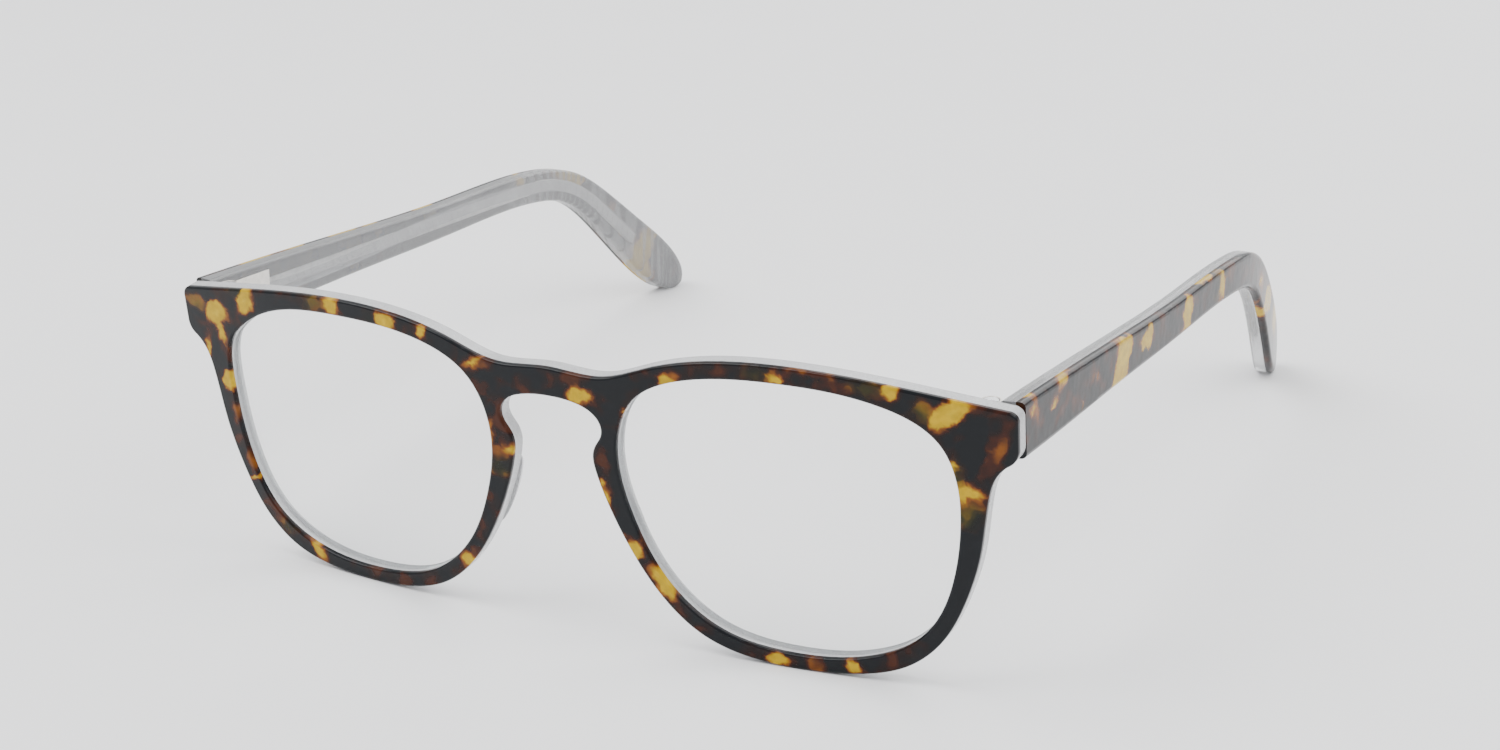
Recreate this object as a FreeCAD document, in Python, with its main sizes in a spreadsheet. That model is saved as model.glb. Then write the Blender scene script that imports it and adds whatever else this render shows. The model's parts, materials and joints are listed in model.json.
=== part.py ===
"""Reading glasses: a laminated acetate front with a keyhole bridge, two edged lenses, and two folding temples.

The front is a tortoise skin laminated to a thicker crystal sheet, bent to one gentle curve. Each temple is the same
laminate, shot with a flat core wire, and turns on a five-barrel hinge with one countersunk screw.

Design frame, in millimetres: X across the front (+X is the wearer's left), Y back towards the wearer, Z up in the
plane of the front. The front's outermost point at the bridge is at Y = 0 and the rims' lowest points are at Z = 0.
Everything is drawn there, the +X side first and the other side by mirroring, and then the whole pair of glasses is
leaned forward until the rims and the temple tips touch the table, which is how it stands at rest.
"""
import FreeCAD, Part
import math
import os
from FreeCAD import Placement, Rotation, Vector

doc = FreeCAD.newDocument("reading_glasses")
sheet = doc.addObject("Spreadsheet::Sheet", "Sizes")

SIZES = [
    # alias, value in millimetres or degrees, what it drives
    ("front_radius", 398.0, "radius of the front's single curve, seen from above"),
    ("skin_thickness", 0.8, "tortoise skin of the front"),
    ("crystal_thickness", 2.3, "crystal sheet behind the skin"),
    ("skin_round", 0.35, "tumbled rounding of the skin's front edges"),
    ("back_round", 0.5, "tumbled rounding of the crystal sheet's back edges"),
    ("blank_depth", 16.0, "depth of the straight blank that the outline is cut from"),
    ("lens_front_radius", 200.0, "front curve of the lens"),
    ("lens_back_radius", 503.0, "back curve of the lens, for a power of 1.5 dioptres"),
    ("lens_centre_thickness", 2.2, "lens thickness on its axis"),
    ("lens_setback", 0.15, "lens vertex behind the front's surface"),
    ("groove_depth", 0.7, "how far the lens edge goes into the rim"),
    ("pad_width", 1.1, "half width of a nose pad"),
    ("pad_depth", 2.2, "how far a nose pad stands back"),
    ("pad_height", 6.4, "half height of a nose pad"),
    ("hinge_offset", 64.4, "hinge axis from the middle of the front"),
    ("hinge_height", 39.4, "middle of the hinge above the rims' lowest points"),
    ("hinge_standoff", 1.9, "hinge axis behind the front's back surface"),
    ("barrel_radius", 1.5, "outside of a hinge barrel"),
    ("barrel_height", 1.35, "height of one barrel"),
    ("barrel_pitch", 1.41, "barrel height and the gap to the next"),
    ("bore_radius", 0.75, "clearance bore of the barrels"),
    ("screw_radius", 0.7, "screw thread and the tapped bottom barrel"),
    ("head_radius", 1.15, "screw head"),
    ("head_height", 0.6, "screw head"),
    ("slot_width", 0.3, "screwdriver slot"),
    ("leaf_height", 6.4, "height of both hinge leaves"),
    ("leaf_thickness", 1.0, "thickness of both hinge leaves"),
    ("front_leaf_width", 4.6, "front leaf, across the end piece"),
    ("temple_leaf_length", 12.6, "temple leaf, along the temple"),
    ("anchor_radius", 1.3, "heat-sunk anchor behind a leaf"),
    ("anchor_depth", 0.7, "heat-sunk anchor behind a leaf"),
    ("temple_inner", 1.8, "temple's inner face, outwards from the hinge axis"),
    ("temple_crystal", 2.3, "crystal layer of the temple"),
    ("temple_skin", 1.3, "tortoise layer of the temple"),
    ("temple_round", 0.8, "tumbled rounding of the temple's long edges"),
    ("temple_straight", 84.0, "straight length of the temple seen from above"),
    ("temple_tuck_radius", 230.0, "inward curve of the ear part"),
    ("shaft_length", 92.0, "hinge to the start of the ear bend"),
    ("bend_radius", 32.0, "centre line of the ear bend"),
    ("bend_angle", 40.0, "degrees that the ear part turns down"),
    ("temple_length", 146.0, "hinge to tip along the centre line"),
    ("temple_drop_angle", 8.0, "degrees that the temple points down from square to the front"),
    ("butt_gap", 0.1, "gap between the open temple's end and the front"),
    ("wire_height", 2.2, "flat core wire"),
    ("wire_thickness", 0.9, "flat core wire"),
    ("wire_start", 4.0, "core wire, from the hinge axis"),
    ("wire_end", 128.0, "core wire, from the hinge axis"),
    ("rest_lean", 3.206, "degrees that the front leans forward on the table"),
]
for row, (alias, value, note) in enumerate(SIZES, start=1):
    sheet.set(f"A{row}", alias)
    sheet.set(f"B{row}", str(value))
    sheet.setAlias(f"B{row}", alias)
    sheet.set(f"C{row}", note)
doc.recompute()


def size(alias):
    """A driving dimension, as a plain number."""
    return float(sheet.get(alias))


# ---------------------------------------------------------------- outlines of the front, +X half, (x, z) in mm

LENS_OPENING = [
    (61.7, 28.0), (60.6, 18.2), (55.9, 8.2), (46.5, 3.2), (36.0, 2.3), (25.2, 4.4), (16.8, 11.4),
    (12.2, 21.0), (10.7, 31.0), (13.9, 39.1), (22.5, 43.4), (36.5, 44.55), (50.0, 43.0), (59.2, 37.8),
]
BROW = [(9.0, 42.05), (16.5, 44.4), (26.0, 46.6), (36.5, 47.15), (50.0, 46.2), (68.5, 43.5)]
BROW_MIDDLE = (0.0, 42.4)
END_PIECE_TOP_CORNER = [(68.5, 43.5), (69.6, 42.95), (69.95, 41.8)]
END_PIECE_LOW_CORNER = [(69.9, 37.6), (69.5, 36.4), (68.4, 35.4)]
RIM_AND_NOSE = [
    (68.4, 35.4), (66.6, 33.3), (65.6, 30.0), (64.3, 21.6), (62.0, 14.0), (58.4, 7.2), (53.2, 2.7),
    (46.4, 0.6), (38.8, 0.0), (29.8, 0.6), (22.6, 2.9), (16.4, 8.1), (11.6, 15.4), (8.4, 22.6),
    (6.95, 27.4), (6.75, 29.6), (7.3, 31.2), (8.3, 32.8), (8.45, 34.4), (7.3, 36.2), (4.4, 37.5),
]
KEYHOLE_MIDDLE = (0.0, 37.95)
LENS_CENTRE_X = 36.2
LENS_CENTRE_Z = 23.4

# Stations along the temple's centre line: distance from the hinge axis, and half the height there.
TEMPLE_STATIONS = [
    (-4.0, 4.15), (14.0, 3.95), (36.0, 3.4), (64.0, 2.95), (92.0, 2.9), (104.0, 3.05),
    (116.0, 3.5), (128.0, 4.15), (136.5, 4.3), (142.5, 3.3), (145.2, 1.7),
]


def mirrored(points):
    """The same outline on the other side, run the other way."""
    return [(-x, z) for x, z in reversed(points)]


def spline(points, pieces, closed=False):
    """A smooth curve through points of a sketch, as a chain of short pieces, which cut more exactly than a long one."""
    curve = Part.BSplineCurve()
    curve.interpolate(Points=[Vector(x, y, 0) for x, y in points], PeriodicFlag=closed)
    start, step = curve.FirstParameter, (curve.LastParameter - curve.FirstParameter) / pieces
    chain = []
    for number in range(pieces):
        piece = curve.copy()
        piece.segment(start + step * number, start + step * (number + 1))
        chain.append(piece)
    return chain


def outset(points, distance):
    """A closed clockwise outline moved outwards, square to its own smooth curve."""
    curve = Part.BSplineCurve()
    curve.interpolate(Points=[Vector(x, y, 0) for x, y in points], PeriodicFlag=True)
    moved = []
    for x, y in points:
        along = curve.tangent(curve.parameter(Vector(x, y, 0)))[0]
        moved.append((x - distance * along.y, y + distance * along.x))
    return moved


def arc_through(points):
    """The arc through three points of a sketch."""
    return Part.Arc(*[Vector(x, y, 0) for x, y in points])


def line(start, end):
    return Part.LineSegment(Vector(*start, 0), Vector(*end, 0))


# ---------------------------------------------------------------- helpers that make document objects

FRONTAL = Rotation(Vector(1, 0, 0), 90)  # sketch plane facing -Y, its second axis up
PLAN = Rotation()  # sketch plane facing up
SIDE = Rotation(Vector(1, 1, 1), 120)  # sketch axes along Y and Z


def sketch(name, rotation, curves):
    made = doc.addObject("Sketcher::SketchObject", name)
    made.Placement = Placement(Vector(), rotation)
    for curve in curves:
        made.addGeometry(curve, False)
    return made


def extrusion(name, base, direction, forward, back="0"):
    """A solid drawn from a sketch; forward and back are expressions on the sheet."""
    made = doc.addObject("Part::Extrusion", name)
    made.Base = base
    made.DirMode = "Custom"
    made.Dir = Vector(*direction)
    made.Solid = True
    made.FaceMakerClass = "Part::FaceMakerBullseye"
    made.setExpression("LengthFwd", forward)
    made.setExpression("LengthRev", back)
    return made


def cylinder(name, radius, height, place=None):
    made = doc.addObject("Part::Cylinder", name)
    made.setExpression("Radius", radius)
    made.setExpression("Height", height)
    made.Placement = place or Placement()
    return made


def box(name, length, width, height, corner):
    """A block; length is along X, width along Y, and corner its lowest corner, all as expressions."""
    made = doc.addObject("Part::Box", name)
    made.setExpression("Length", length)
    made.setExpression("Width", width)
    made.setExpression("Height", height)
    for axis, place in zip("xyz", corner):
        made.setExpression(f"Placement.Base.{axis}", place)
    return made


def common(name, first, second):
    made = doc.addObject("Part::Common", name)
    made.Base, made.Tool = first, second
    return made


def cut(name, first, second):
    made = doc.addObject("Part::Cut", name)
    made.Base, made.Tool = first, second
    return made


def union(name, shapes):
    made = doc.addObject("Part::MultiFuse", name)
    made.Shapes = shapes
    made.Refine = False
    return made


def mirror(name, source):
    """The same piece on the other side of the glasses."""
    made = doc.addObject("Part::Mirroring", name)
    made.Source = source
    made.Normal = Vector(1, 0, 0)
    return made


def rounded(name, base, radius, chosen):
    """The same solid with those edges rounded."""
    doc.recompute()
    made = doc.addObject("Part::Fillet", name)
    made.Base = base
    made.Edges = [(number, radius, radius) for number, edge in enumerate(base.Shape.Edges, start=1) if chosen(edge)]
    return made


def along(edge):
    """Five points along an edge."""
    step = (edge.LastParameter - edge.FirstParameter) / 5
    return [edge.valueAt(edge.FirstParameter + step * (number + 0.5)) for number in range(5)]


nodes = {}


def node(label, made):
    """Marks an object as a sub-part: its Label names its file."""
    made.Label = label
    nodes[label] = made
    return made


def pair(label, made):
    """A sub-part on the wearer's left and its mirror image on the wearer's right."""
    node(f"{label}_left", made)
    node(f"{label}_right", mirror(f"{label}_mirror", made))
    return made


# ---------------------------------------------------------------- the bent sheets that the front is cut from

CURVE_AXIS = Placement(Vector(0, size("front_radius"), -20), Rotation())
SHEET_HEIGHT = "90 mm"
front_face = cylinder("FrontFace", "Sizes.front_radius * 1mm", SHEET_HEIGHT, CURVE_AXIS)
seam_face = cylinder("SeamFace", "(Sizes.front_radius - Sizes.skin_thickness) * 1mm", SHEET_HEIGHT, CURVE_AXIS)
back_face = cylinder(
    "BackFace",
    "(Sizes.front_radius - Sizes.skin_thickness - Sizes.crystal_thickness) * 1mm",
    SHEET_HEIGHT,
    CURVE_AXIS,
)
temple_side = cylinder(
    "TempleSide",
    "(Sizes.front_radius - Sizes.skin_thickness - Sizes.crystal_thickness - Sizes.butt_gap) * 1mm",
    SHEET_HEIGHT,
    CURVE_AXIS,
)
skin_sheet = cut("SkinSheet", front_face, seam_face)
crystal_sheet = cut("CrystalSheet", seam_face, back_face)

outline = sketch(
    "FrontOutline",
    FRONTAL,
    [
        *spline(mirrored(BROW) + [BROW_MIDDLE] + BROW, 4),
        arc_through(END_PIECE_TOP_CORNER),
        line(END_PIECE_TOP_CORNER[-1], END_PIECE_LOW_CORNER[0]),
        arc_through(END_PIECE_LOW_CORNER),
        *spline(RIM_AND_NOSE + [KEYHOLE_MIDDLE] + mirrored(RIM_AND_NOSE), 12),
        arc_through(mirrored(END_PIECE_LOW_CORNER)),
        line(mirrored(END_PIECE_LOW_CORNER)[-1], mirrored(END_PIECE_TOP_CORNER)[0]),
        arc_through(mirrored(END_PIECE_TOP_CORNER)),
        *spline(LENS_OPENING, 6, closed=True),
        *spline(mirrored(LENS_OPENING), 6, closed=True),
    ],
)


def on_sheet(depth):
    """Picks the edges that lie on the bent sheet, that far behind its front surface."""
    ring = size("front_radius") - depth

    def chosen(edge):
        return all(abs(math.hypot(p.x, p.y - size("front_radius")) - ring) < 0.001 for p in along(edge))

    return chosen


front_blank = extrusion("FrontBlank", outline, (0, 1, 0), "Sizes.blank_depth * 1mm", "1 mm")
skin_cut = common("SkinCut", front_blank, skin_sheet)
skin = rounded("SkinRounded", skin_cut, size("skin_round"), on_sheet(0))
crystal_cut = common("CrystalCut", front_blank, crystal_sheet)
front_depth = size("skin_thickness") + size("crystal_thickness")
crystal_rounded = rounded("CrystalRounded", crystal_cut, size("back_round"), on_sheet(front_depth))

# ---------------------------------------------------------------- lenses: two spherical surfaces, edged to the rim


def sag(radius, reach):
    """How far a curve of that radius falls back at a distance from its axis."""
    return radius - math.sqrt(radius**2 - reach**2)


wrap_angle = math.asin(LENS_CENTRE_X / size("front_radius"))
lens_axis = Vector(-math.sin(wrap_angle), math.cos(wrap_angle), 0)
lens_vertex = Vector(
    LENS_CENTRE_X, sag(size("front_radius"), LENS_CENTRE_X) + size("lens_setback"), LENS_CENTRE_Z
)


def lens_surface(name, radius, depth):
    """A ball whose front touches the lens's axis at that depth behind its vertex."""
    ball = doc.addObject("Part::Sphere", name)
    ball.setExpression("Radius", f"Sizes.{radius} * 1mm")
    ball.Placement.Base = lens_vertex + lens_axis * (depth + size(radius))
    return ball


lens_front = lens_surface("LensFront", "lens_front_radius", 0)
lens_back = lens_surface("LensBack", "lens_back_radius", size("lens_centre_thickness"))
lens_outline = sketch("LensOutline", FRONTAL, spline(outset(LENS_OPENING, size("groove_depth")), 6, closed=True))
lens_prism = extrusion("LensPrism", lens_outline, (0, 1, 0), "Sizes.blank_depth * 1mm", "1 mm")
pair("lens", cut("LensEdged", common("LensDomed", lens_prism, lens_front), lens_back))

# ---------------------------------------------------------------- nose pads, glued behind the nose flanks

pad_blank = doc.addObject("Part::Ellipsoid", "PadBlank")
pad_blank.setExpression("Radius1", "Sizes.pad_height * 1mm")
pad_blank.setExpression("Radius2", "Sizes.pad_width * 1mm")
pad_blank.setExpression("Radius3", "Sizes.pad_depth * 1mm")
pad_blank.Angle1, pad_blank.Angle2, pad_blank.Angle3 = -90, 90, 360
PAD_CENTRE = Vector(10.2, 3.0, 20.0)
pad_tilt = Rotation(Vector(0, 1, 0), -23)  # follows the nose flank down and outwards
pad_flare = Rotation(Vector(0, 0, 1), -6)  # the pad's reach points back and slightly away from the nose
pad_blank.Placement = Placement(PAD_CENTRE, pad_tilt.multiply(pad_flare))
pair("nose_pad", common("NosePad", pad_blank, back_face))

# ---------------------------------------------------------------- hinge

hinge_ring = size("front_radius") - size("skin_thickness") - size("crystal_thickness") - size("hinge_standoff")
HINGE = Vector(
    size("hinge_offset"),
    size("front_radius") - math.sqrt(hinge_ring**2 - size("hinge_offset") ** 2),
    size("hinge_height"),
)
BARREL_LEVELS = range(-2, 3)  # five barrels: the front leaf has the outer two and the middle one
leaf_turn = Rotation(Vector(0, 0, 1), math.degrees(math.asin((HINGE.x - 3) / hinge_ring)))
at_hinge = Placement(HINGE, Rotation())
along_front = Placement(HINGE, leaf_turn)
along_temple = Placement(HINGE, Rotation(Vector(1, 0, 0), -size("temple_drop_angle")))


def barrels(name, levels):
    """The barrels at those levels of the hinge, without their bore."""
    made = []
    for level in levels:
        barrel = cylinder(f"{name}{level + 3}", "Sizes.barrel_radius * 1mm", "Sizes.barrel_height * 1mm")
        barrel.setExpression("Placement.Base.z", f"({level} * Sizes.barrel_pitch - Sizes.barrel_height / 2) * 1mm")
        made.append(barrel)
    return made


def necks(name, levels, length, width, x, y):
    """The webs that join the barrels to their leaf."""
    low = "({} * Sizes.barrel_pitch - Sizes.barrel_height / 2) * 1mm"
    return [
        box(f"{name}{level + 3}", length, width, "Sizes.barrel_height * 1mm", (x, y, low.format(level)))
        for level in levels
    ]


def placed(name, shapes, place):
    """Those shapes as one solid, moved from the hinge's own frame to its place."""
    made = union(name, shapes)
    made.Placement = place
    return made


# Front leaf: a plate sunk in the back of the end piece, an anchor, and three barrels.
front_plate_place = (
    "(Sizes.barrel_radius - Sizes.front_leaf_width) * 1mm",
    "(-1 * Sizes.barrel_radius - 0.25 - Sizes.leaf_thickness) * 1mm",
    "-0.5 * Sizes.leaf_height * 1mm",
)
front_plate = box(
    "FrontPlate",
    "Sizes.front_leaf_width * 1mm",
    "Sizes.leaf_thickness * 1mm",
    "Sizes.leaf_height * 1mm",
    front_plate_place,
)
front_anchor = cylinder("FrontAnchor", "Sizes.anchor_radius * 1mm", "(Sizes.anchor_depth + 0.5) * 1mm")
front_anchor.Placement = Placement(
    Vector(-0.9, -size("barrel_radius") - 0.25 - size("leaf_thickness") + 0.5, 0), Rotation(Vector(1, 0, 0), 90)
)
front_levels = [level for level in BARREL_LEVELS if level % 2 == 0]
front_necks = necks(
    "FrontNeck",
    front_levels,
    "(Sizes.barrel_radius + 0.9) * 1mm",
    "(Sizes.barrel_radius + 0.5) * 1mm",
    "-1 * Sizes.barrel_radius * 1mm",
    "(-1 * Sizes.barrel_radius - 0.5) * 1mm",
)
front_leaf_solid = placed(
    "FrontLeafSolid", [front_plate, front_anchor] + barrels("FrontBarrel", front_levels) + front_necks, along_front
)

# Temple leaf: a plate sunk in the inner face of the temple, and two barrels between the front's three.
temple_levels = [level for level in BARREL_LEVELS if level % 2]
temple_barrels = placed(
    "TempleBarrels",
    barrels("TempleBarrel", temple_levels)
    + necks("TempleNeck", temple_levels, "2.2 mm", "2.2 mm", "0 mm", "-1 mm"),
    at_hinge,
)
temple_plate = box(
    "TemplePlate",
    "Sizes.leaf_thickness * 1mm",
    "Sizes.temple_leaf_length * 1mm",
    "Sizes.leaf_height * 0.86 * 1mm",
    ("(Sizes.temple_inner - 0.15) * 1mm", "-0.6 mm", "-0.43 * Sizes.leaf_height * 1mm"),
)
temple_anchor = cylinder("TempleAnchor", "0.8 * Sizes.anchor_radius * 1mm", "(Sizes.anchor_depth + 0.5) * 1mm")
temple_anchor.Placement = Placement(
    Vector(size("temple_inner") - 0.65 + size("leaf_thickness"), 1.6, 0), Rotation(Vector(0, 1, 0), 90)
)
temple_plate_placed = placed("TemplePlatePlaced", [temple_plate, temple_anchor], along_temple)
temple_leaf_solid = union("TempleLeafSolid", [temple_barrels, temple_plate_placed])

# Screw: its thread turns free in the temple's barrels and is gripped by the tapped bottom barrel.
stack_half = size("barrel_pitch") * 2 + size("barrel_height") / 2
screw = doc.addObject("PartDesign::Body", "HingeScrew")
screw_profile = screw.newObject("Sketcher::SketchObject", "ScrewProfile")
screw_plane = [f for f in screw.Origin.OriginFeatures if f.Role == "XZ_Plane"][0]
screw_profile.AttachmentSupport = (screw_plane, [""])
screw_profile.MapMode = "FlatFace"
thread, head = size("screw_radius"), size("head_radius")
top, seat, foot = stack_half - 0.05, stack_half - 0.05 - size("head_height"), -stack_half + 0.1
screw_corners = [
    (0, foot), (thread - 0.2, foot), (thread, foot + 0.2), (thread, seat), (head, seat), (head, top), (0, top),
]
for start, end in zip(screw_corners, screw_corners[1:] + screw_corners[:1]):
    screw_profile.addGeometry(line(start, end), False)
doc.recompute()
screw_turned = screw.newObject("PartDesign::Revolution", "ScrewTurned")
screw_turned.Profile = screw_profile
screw_turned.ReferenceAxis = (screw_profile, ["V_Axis"])
screw_turned.Angle = 360
screw.Placement = at_hinge
slot = box(
    "ScrewSlot",
    "3 * Sizes.head_radius * 1mm",
    "Sizes.slot_width * 1mm",
    "Sizes.head_height * 1mm",
    (
        "(Sizes.hinge_offset - 1.5 * Sizes.head_radius) * 1mm",
        f"({HINGE.y} - Sizes.slot_width / 2) * 1mm",
        f"(Sizes.hinge_height + {top} - 0.5 * Sizes.head_height) * 1mm",
    ),
)
pair("hinge_screw", cut("HingeScrewSlotted", screw, slot))

clear_bore = cylinder(
    "ClearBore",
    "Sizes.bore_radius * 1mm",
    "(4.5 * Sizes.barrel_pitch) * 1mm",
    Placement(HINGE - Vector(0, 0, 1.5 * size("barrel_pitch")), Rotation()),
)
tapped_bore = cylinder(
    "TappedBore",
    "Sizes.screw_radius * 1mm",
    "3 * Sizes.barrel_pitch * 1mm",
    Placement(HINGE - Vector(0, 0, 3 * size("barrel_pitch")), Rotation()),
)
head_seat = cylinder(
    "HeadSeat",
    "(Sizes.head_radius + 0.05) * 1mm",
    "2 mm",
    Placement(HINGE + Vector(0, 0, seat), Rotation()),
)
front_leaf_bores = union("FrontLeafBores", [clear_bore, tapped_bore, head_seat])
temple_leaf_bore = cylinder(
    "TempleLeafBore",
    "Sizes.bore_radius * 1mm",
    "8 * Sizes.barrel_pitch * 1mm",
    Placement(HINGE - Vector(0, 0, 4 * size("barrel_pitch")), Rotation()),
)
pair("front_hinge_leaf", cut("FrontLeaf", front_leaf_solid, front_leaf_bores))
pair("temple_hinge_leaf", cut("TempleLeaf", temple_leaf_solid, temple_leaf_bore))

# ---------------------------------------------------------------- the front, with its grooves and hinge recesses

crystal_grooves = union("CrystalGrooves", [nodes["lens_left"], nodes["lens_right"]])
crystal_recesses = union("CrystalRecesses", [front_leaf_solid, mirror("FrontLeafSolidMirror", front_leaf_solid)])
crystal_grooved = cut("CrystalGrooved", crystal_rounded, crystal_grooves)
node("front_crystal_layer", cut("CrystalLayer", crystal_grooved, crystal_recesses))
node("front_tortoise_layer", skin)

# ---------------------------------------------------------------- temples


def temple_point(distance, offset):
    """A point beside the temple's centre line, in its side view: (back, up), with offset measured upwards."""
    shaft, radius = size("shaft_length"), size("bend_radius")
    bend = math.radians(size("bend_angle"))
    past = max(0.0, distance - shaft)
    turn = min(past / radius, bend)
    straight = past - turn * radius
    back = min(distance, shaft) + radius * math.sin(turn) + straight * math.cos(turn)
    up = -radius * (1 - math.cos(turn)) - straight * math.sin(turn)
    return back + offset * math.sin(turn), up + offset * math.cos(turn)


def temple_outline(stations, tip=None):
    """A closed side view from stations of (distance, half height); tip closes it with a round end."""
    upper = [temple_point(distance, half) for distance, half in stations]
    lower = [temple_point(distance, -half) for distance, half in reversed(stations)]
    if tip is None:
        return [*spline(upper, 3), line(upper[-1], lower[0]), *spline(lower, 3), line(lower[-1], upper[0])]
    return [*spline(upper + [temple_point(tip, 0)] + lower, 10), line(lower[-1], upper[0])]


def temple_layer(name, inner, outer):
    """Plan view of one layer: straight from the hinge, then tucked in behind the ear. Offsets are outwards."""
    straight, radius = size("temple_straight"), size("temple_tuck_radius")
    turn = (size("temple_length") + 4 - straight) / radius
    start = -5.0

    def edge(offset):
        """Start, end of the straight, and middle and end of the curve."""
        reach = radius + offset
        points = [(offset, start), (offset, straight)]
        for angle in (turn / 2, turn):
            points.append((offset - reach + reach * math.cos(angle), straight + reach * math.sin(angle)))
        return points

    inside, outside = edge(inner), edge(outer)
    return sketch(
        name,
        PLAN,
        [
            line(inside[0], inside[1]),
            arc_through(inside[1:]),
            line(inside[3], outside[3]),
            arc_through(outside[:0:-1]),
            line(outside[1], outside[0]),
            line(outside[0], inside[0]),
        ],
    )


def temple_slice(name, side_view, inner, outer):
    """A side view carried across, kept between two plan curves: one layer of the temple, in the temple's frame."""
    plan = temple_layer(f"{name}Plan", inner, outer)
    slab = extrusion(f"{name}Slab", plan, (0, 0, 1), "20 mm", "60 mm")
    body = extrusion(f"{name}Body", side_view, (1, 0, 0), "20 mm", "30 mm")
    made = common(f"{name}Slice", slab, body)
    made.Placement = along_temple
    return made


inner_face = size("temple_inner")
seam = inner_face + size("temple_crystal")
outer_face = seam + size("temple_skin")
wire_inner = inner_face - 0.15 + size("leaf_thickness")
temple_side_view = sketch("TempleSideView", SIDE, temple_outline(TEMPLE_STATIONS, tip=size("temple_length")))
WIRE_STATIONS = [
    (distance, size("wire_height") / 2)
    for distance in (size("wire_start"), 48, size("shaft_length"), 103, 114, size("wire_end"))
]
wire_side_view = sketch("WireSideView", SIDE, temple_outline(WIRE_STATIONS))
wire = pair("core_wire", temple_slice("Wire", wire_side_view, wire_inner, wire_inner + size("wire_thickness")))


def on_temple_face(offset):
    """Picks the long edges of one face of the temple, at that distance outwards from the hinge axis."""
    tuck, straight = size("temple_tuck_radius"), size("temple_straight")

    def on_face(point):
        local = along_temple.inverse().multVec(point)
        reach = math.hypot(local.x + tuck, max(0.0, local.y - straight)) - tuck
        return abs(reach - offset) < 0.001 and local.y > 0

    return lambda edge: all(on_face(point) for point in along(edge))


temple_skin = common("TempleSkin", temple_slice("Skin", temple_side_view, seam, outer_face), temple_side)
temple_core = common("TempleCore", temple_slice("Core", temple_side_view, inner_face, seam), temple_side)
temple_skin = rounded("TempleSkinRounded", temple_skin, size("temple_round"), on_temple_face(outer_face))
temple_core = rounded("TempleCoreRounded", temple_core, size("temple_round"), on_temple_face(inner_face))
core_recess = cut("CoreRecess", temple_core, union("CoreInlay", [wire, temple_leaf_solid]))
pair("temple_tortoise_layer", temple_skin)
pair("temple_crystal_layer", core_recess)

# ---------------------------------------------------------------- stand the glasses on the table and write them out

doc.recompute()
lean = Placement(Vector(), Rotation(Vector(1, 0, 0), size("rest_lean")))
leaned = []
for made in nodes.values():
    shape = made.Shape.copy()
    shape.Placement = lean.multiply(shape.Placement)
    leaned.append(shape)
extent = Part.makeCompound(leaned).optimalBoundingBox(False)
rest = Placement(Vector(0, -(extent.YMin + extent.YMax) / 2, -extent.ZMin), Rotation()).multiply(lean)

os.makedirs("parts", exist_ok=True)
for made in doc.Objects:
    if "Invalid" in made.State or "Error" in made.State:
        raise RuntimeError(f"{made.Label} failed: {made.State}")
for label, made in nodes.items():
    shape = made.Shape.copy()
    if shape.isNull() or not shape.isValid() or not shape.Solids:
        raise RuntimeError(f"{label} has no valid solid")
    shape.Placement = rest.multiply(shape.Placement)
    shape.exportStep(f"parts/{label}.step")
    print(label, "solids", len(shape.Solids), "volume", round(shape.Volume, 2))

hinge_point = rest.multVec(HINGE)
hinge_axis = rest.Rotation.multVec(Vector(0, 0, 1))
print("hinge point", [round(v, 4) for v in hinge_point], "axis", [round(v, 6) for v in hinge_axis])
print("extent", [round(v, 2) for v in (extent.XLength, extent.YLength, extent.ZLength)], "lean", size("rest_lean"))
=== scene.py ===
"""Reading glasses in tortoise and crystal acetate: the finish around the glasses' CAD frame.

The front is a tortoise skin on a milky crystal sheet, and the temples are the same laminate over a stamped
core wire. Outlines are in millimetres in the front's own plane: x across from the middle of the bridge, z up
from the rims' lowest points, and depth back from the front's outermost point. FRONT turns that plane into the
frame's space.
"""
import json
import math

import bmesh
import bpy
from bpy.props import FloatProperty, FloatVectorProperty, IntProperty, PointerProperty
from mathutils import Matrix, Vector


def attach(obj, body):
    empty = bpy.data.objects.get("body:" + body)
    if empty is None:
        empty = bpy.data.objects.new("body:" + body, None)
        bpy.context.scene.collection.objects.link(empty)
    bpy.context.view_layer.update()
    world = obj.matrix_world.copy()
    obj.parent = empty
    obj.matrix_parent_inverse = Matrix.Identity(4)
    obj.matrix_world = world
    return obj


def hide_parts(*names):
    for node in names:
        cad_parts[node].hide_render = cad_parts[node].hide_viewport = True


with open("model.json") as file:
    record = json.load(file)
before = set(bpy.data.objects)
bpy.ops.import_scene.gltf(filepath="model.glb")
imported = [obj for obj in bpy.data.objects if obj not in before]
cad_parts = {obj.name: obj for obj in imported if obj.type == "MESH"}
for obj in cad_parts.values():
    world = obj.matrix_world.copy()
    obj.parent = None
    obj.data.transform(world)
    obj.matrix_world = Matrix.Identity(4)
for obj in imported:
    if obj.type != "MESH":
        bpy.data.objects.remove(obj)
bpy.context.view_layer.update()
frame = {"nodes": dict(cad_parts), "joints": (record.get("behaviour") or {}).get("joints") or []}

bl_info = {
    "name": "Reading Glasses",
    "version": (1, 0, 0),
    "blender": (4, 5, 0),
    "location": "3D View > Sidebar > Glasses",
    "description": "Finishes folding reading glasses in laminated tortoise and crystal acetate",
    "category": "Object",
}

MM = 0.001
SIDES = {"left": 1, "right": -1}  # the wearer's left is +X

# --------------------------------------------------------------------------------- the glasses' own frames

SHEET_RADIUS = 398.0  # the front's single curve, seen from above
HINGE = Vector((64.4, 10.311, 39.4))  # the left hinge in the front's plane
TEMPLE_DROP = math.radians(8)  # the temples point down from square to the front
fold_left = next(joint for joint in frame["joints"] if joint["name"] == "fold_left")
lean = math.atan2(-fold_left["axis"][1], fold_left["axis"][2])
LEAN = Matrix.Rotation(lean, 4, "X")
FRONT = Matrix.Translation(Vector(fold_left["pos_m"]) - LEAN @ (HINGE * MM)) @ LEAN


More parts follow.
